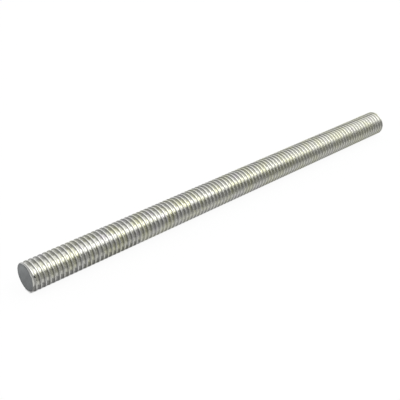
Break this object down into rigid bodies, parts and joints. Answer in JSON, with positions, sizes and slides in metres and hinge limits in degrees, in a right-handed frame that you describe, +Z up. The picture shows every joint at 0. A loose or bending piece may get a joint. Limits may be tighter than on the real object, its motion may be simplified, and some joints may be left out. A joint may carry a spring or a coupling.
{
  "type": "threaded rod",
  "caption": "Straight steel rod with a right-hand metric screw thread along its whole length and square-cut, lightly bevelled ends.",
  "frame": {"origin": "centre of the near cut end's face, on the rod's axis", "axes": "+X along the rod from the near end to the far end, +Z up, +Y sideways"},
  "size_m": [0.105, 0.006, 0.006],
  "materials": {
    "zinc_plate": "bright zinc plating with a faint yellow-green passivation, cut ends in bare grey steel"
  },
  "bodies": {
    "root": {"rod": "zinc_plate"}
  },
  "joints": []
}
